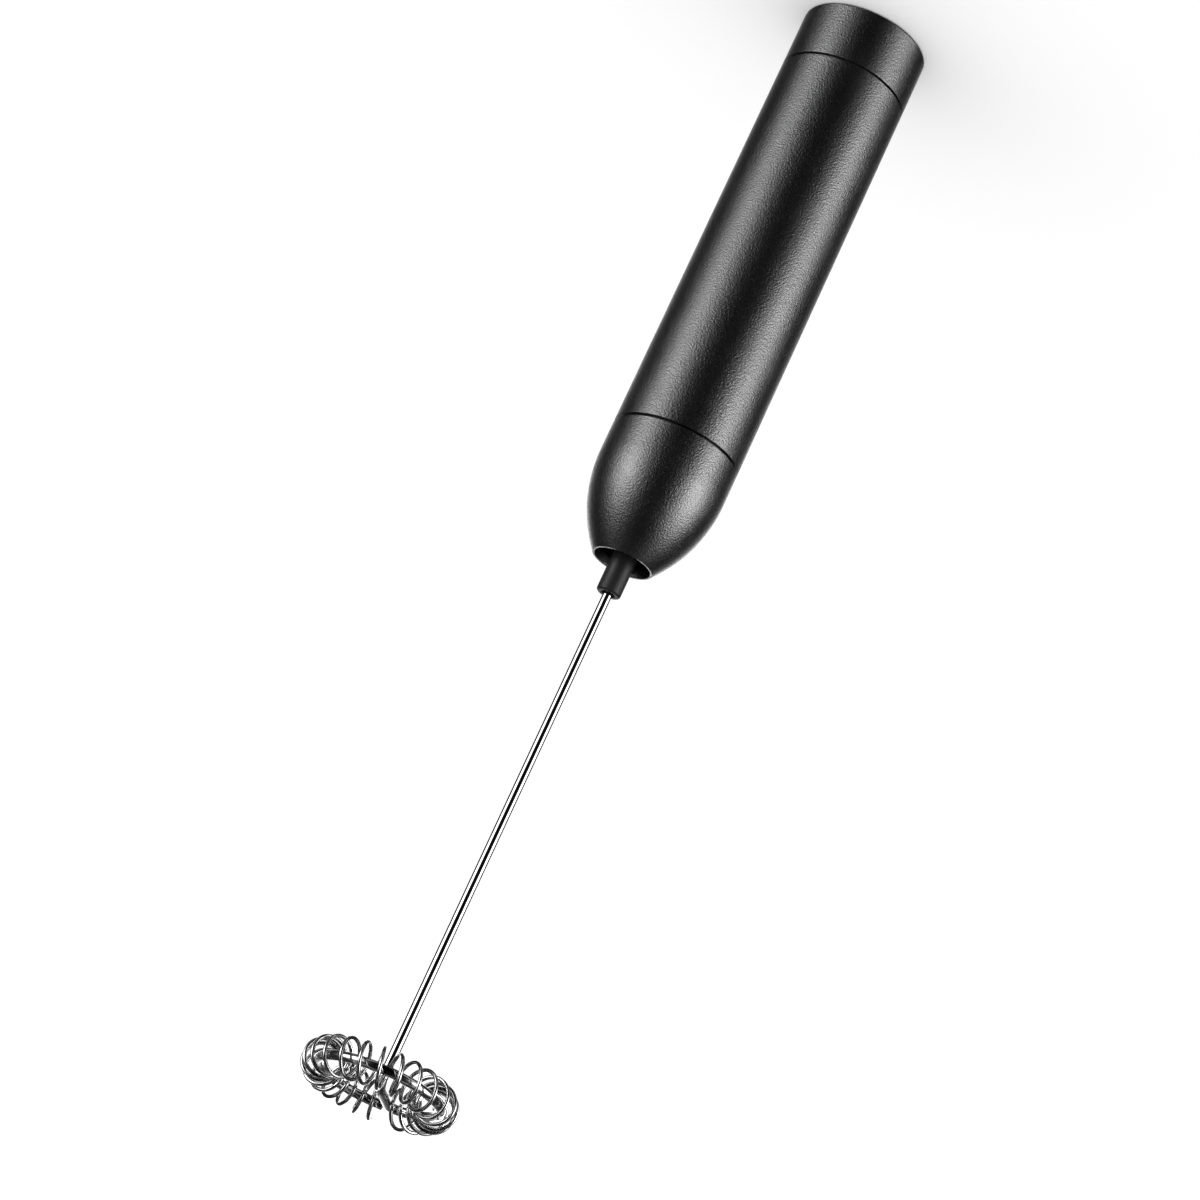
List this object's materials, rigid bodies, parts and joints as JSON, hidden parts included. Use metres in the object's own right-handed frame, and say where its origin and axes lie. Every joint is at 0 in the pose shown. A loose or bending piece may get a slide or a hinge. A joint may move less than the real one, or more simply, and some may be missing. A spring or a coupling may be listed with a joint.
{
  "type": "handheld milk frother",
  "caption": "Slim round battery milk frother: black metal handle with a bell-shaped nose, screw-off button cap, and a bent steel rod carrying a ring-shaped coil whisk.",
  "frame": {"origin": "centre of the flat end face of the screw cap, which it stands on with the whisk up; it is turned over for use", "axes": "+Z along the handle from the end cap to the whisk, -Y roughly towards the side on which the whisk's ring leans down to the handle, +X completes the right-handed frame"},
  "size_m": [0.0316, 0.0314, 0.2466],
  "materials": {
    "anodised_black": "satin black anodised aluminium",
    "black_plastic": "fine matte moulded",
    "grey_plastic": "moulded",
    "white_plastic": "moulded",
    "seal_rubber": "matte",
    "polished_steel": "polished stainless wire",
    "plated_steel": "zinc plated",
    "ferrite": "sintered, matte",
    "core_steel": "stacked laminations",
    "copper": "enamelled copper",
    "brass": "bright turned",
    "cell_jacket": "printed film over steel, plain",
    "board_green": "solder mask over glass fibre board",
    "red_lead": "insulated lead",
    "black_lead": "insulated lead"
  },
  "bodies": {
    "handle": {"barrel": "anodised_black", "threaded_collar": "plated_steel", "battery_tray": "black_plastic", "cell_1": "cell_jacket", "cell_2": "cell_jacket", "cell_spring_1": "polished_steel", "cell_spring_2": "polished_steel", "lower_contact_1": "brass", "lower_contact_2": "brass", "upper_contact_1": "brass", "upper_contact_2": "brass", "board_spring_1": "polished_steel", "board_spring_2": "polished_steel", "contact_board": "board_green", "lead_red": "red_lead", "lead_black": "black_lead", "motor_can": "plated_steel", "motor_end_bell": "white_plastic", "rear_bush": "brass", "front_bush": "brass", "magnet_1": "ferrite", "magnet_2": "ferrite", "brush_1": "copper", "brush_2": "copper", "terminal_1": "brass", "terminal_2": "brass", "motor_holder": "black_plastic", "motor_screw_1": "polished_steel", "motor_screw_2": "polished_steel", "nose_cone": "anodised_black"},
    "cap_gasket": {"cap_seal": "seal_rubber"},
    "end_cap": {"end_cap": "anodised_black", "switch_housing": "grey_plastic", "button_spring": "polished_steel"},
    "button": {"button": "black_plastic", "contact_disc": "brass", "stem_clip": "polished_steel"},
    "drive": {"motor_shaft": "polished_steel", "rotor_core": "core_steel", "winding_1": "copper", "winding_2": "copper", "winding_3": "copper", "commutator": "copper", "coupling_sleeve": "black_plastic", "whisk_rod": "polished_steel", "whisk_coil": "polished_steel"}
  },
  "joints": [
    {"name": "cap_lift", "type": "slide", "parent": "end_cap", "child": "cap_gasket", "axis": [0, 0, 1], "range_m": [0, 0.01]},
    {"name": "cap_turn", "type": "hinge", "parent": "cap_gasket", "child": "handle", "pos_m": [0, 0, 0], "axis": [0, 0, 1], "range_deg": [0, 1440]},
    {"name": "button_press", "type": "slide", "parent": "end_cap", "child": "button", "axis": [0, 0, 1], "range_m": [0, 0.0012], "stiffness_N_per_m": 800, "springref_m": -0.001, "deforming": ["button_spring"]},
    {"name": "whisk_spin", "type": "hinge", "parent": "handle", "child": "drive", "pos_m": [0, 0, 0.11], "axis": [0, 0, 1], "continuous": true}
  ],
  "couplings": [
    {"joint": "cap_turn", "follows": "cap_lift", "rad_per_m": 2513.3}
  ]
}
